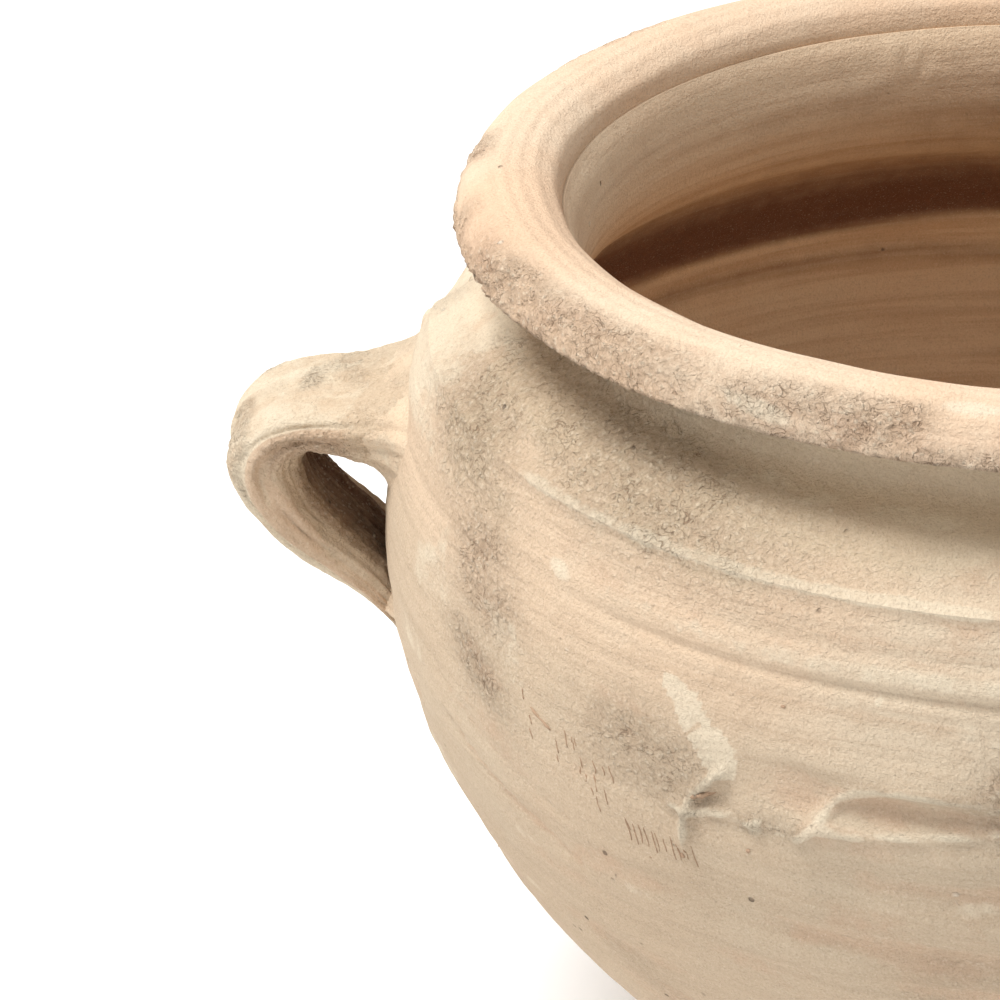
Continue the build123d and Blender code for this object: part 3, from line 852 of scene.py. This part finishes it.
def luting(name, node, side, ring, seed, spread, climb, drop):
    """A concave skirt of clay from round the strap down onto the wall."""
    centre = ring.mean(0)
    start = ring.copy()
    start[:, 1:] = centre[1:] + (ring[:, 1:] - centre[1:]) * 0.965
    off = start - centre
    wide = np.hypot(off[:, 1], off[:, 2])[:, None]
    unit = off / wide
    phase = np.arctan2(unit[:, 2], unit[:, 1])
    dial_round = np.stack([np.cos(phase) * 2.2, np.sin(phase) * 2.2, 0 * phase], -1)
    reach = spread * (1 + 0.22 * noise(dial_round, seed))
    lift = np.where(unit[:, 2] > 0, climb, drop)
    end_y = start[:, 1] + unit[:, 1] * reach
    end_z = start[:, 2] + unit[:, 2] * reach * lift
    rows = []
    wall0 = real_wall(side, start[:, 1], start[:, 2])
    for t in np.linspace(0, 1, 22):
        y = start[:, 1] + (end_y - start[:, 1]) * t ** 1.25
        z = start[:, 2] + (end_z - start[:, 2]) * t ** 1.25
        x_wall = real_wall(side, y, z)
        rise0 = np.abs(start[:, 0]) - wall0
        x = x_wall + rise0 * (1 - t) ** 2.1 - 0.0005 * t + 0.0004 * np.sin(np.pi * t)
        smears = rough(np.stack([y, z, x], -1) * 1000 / 5.0, 3, 0.6, seed + 2)
        bump = 0.00034 * smears * np.sin(np.pi * min(t, 1.0)) ** 0.7
        rows.append(np.stack([side * (x + bump), y, z], -1))
    inner_wall = rows[-1].copy()
    inner_wall[:, 0] -= side * 0.004
    inner_start = start.copy()
    inner_start[:, 1:] = centre[1:] + (start[:, 1:] - centre[1:]) * 0.8
    inner_start[:, 0] = side * (wall0 - 0.004)
    body = np.array(rows + [inner_wall, inner_start])
    if side > 0:
        body = body[:, ::-1]
    obj = ring_mesh(name, body)
    mm = body * 1000
    grit = np.clip(0.25 + 0.5 * noise(mm / 9, seed + 3), 0, 1)
    dusty = 0.32 + 0.3 * noise(mm / 16, seed + 4)
    green = np.clip(0.5 * noise(mm / 12, seed + 5), 0, 1)
    paint(obj, len(body), grit=grit, pale=dusty, moss=green)
    obj.data.materials.append(luting_clay)
    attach(obj, "root")
    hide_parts(node)
    return obj


for side, word, seed in ((-1, "left", 200), (1, "right", 240)):
    rings = straps[word]
    luting(word + "_upper_luting", word + "_upper_pad", side, rings[36], seed, 0.0085, 1.1, 1.15)
    luting(word + "_lower_luting", word + "_lower_pad", side, rings[-36], seed + 20, 0.0060, 0.30, 1.3)

# ======================================================================
# Camera, floor and light.
# ======================================================================
cam_data = bpy.data.cameras.new("camera")
cam_data.lens = 118.7
cam_data.sensor_width = 36
cam = bpy.data.objects.new("camera", cam_data)
bpy.context.scene.collection.objects.link(cam)
camera_at = (-0.0555, -0.6341, 0.4699)
yaw, pitch, roll = math.radians(-5.66), math.radians(27.79), -0.036
forward = Vector((math.sin(yaw) * math.cos(pitch), math.cos(yaw) * math.cos(pitch), -math.sin(pitch)))
right = Vector((math.cos(yaw), -math.sin(yaw), 0))
up = right.cross(forward)
side_way = math.cos(roll) * right + math.sin(roll) * up
top_way = -math.sin(roll) * right + math.cos(roll) * up
cam.matrix_world = Matrix((
    (side_way.x, top_way.x, -forward.x, camera_at[0]),
    (side_way.y, top_way.y, -forward.y, camera_at[1]),
    (side_way.z, top_way.z, -forward.z, camera_at[2]),
    (0, 0, 0, 1),
))
bpy.context.scene.camera = cam

floor_mesh = bpy.data.meshes.new("floor")
floor_half, floor_drop = 6, 0.0006
floor_corners = [
    (x * floor_half, y * floor_half, -floor_drop) for x, y in ((-1, -1), (1, -1), (1, 1), (-1, 1))
]
floor_mesh.from_pydata(floor_corners, [], [(0, 1, 2, 3)])
ground = bpy.data.objects.new("floor", floor_mesh)
bpy.context.scene.collection.objects.link(ground)
floor_paint = bpy.data.materials.new("pale floor")
floor_paint.use_nodes = True
floor_shader = floor_paint.node_tree.nodes["Principled BSDF"]
floor_shader.inputs["Base Color"].default_value = (0.96, 0.96, 0.96, 1)
floor_shader.inputs["Roughness"].default_value = 0.9
floor_mesh.materials.append(floor_paint)

world = bpy.data.worlds.new("studio")
world.use_nodes = True
world.node_tree.nodes["Background"].inputs["Color"].default_value = (1, 1, 1, 1)
world.node_tree.nodes["Background"].inputs["Strength"].default_value = 0.68
bpy.context.scene.world = world
bpy.context.scene.view_settings.view_transform = "Standard"


def soft_light(name, place, aim, size, power):
    """A square soft light."""
    data = bpy.data.lights.new(name, "AREA")
    data.size = size
    data.energy = power
    lamp = bpy.data.objects.new(name, data)
    lamp.location = place
    lamp.rotation_euler = (Vector(aim) - Vector(place)).to_track_quat("-Z", "Y").to_euler()
    bpy.context.scene.collection.objects.link(lamp)


soft_light("key", (-0.85, -0.15, 1.8), (0, 0, 0.15), 0.8, 39)
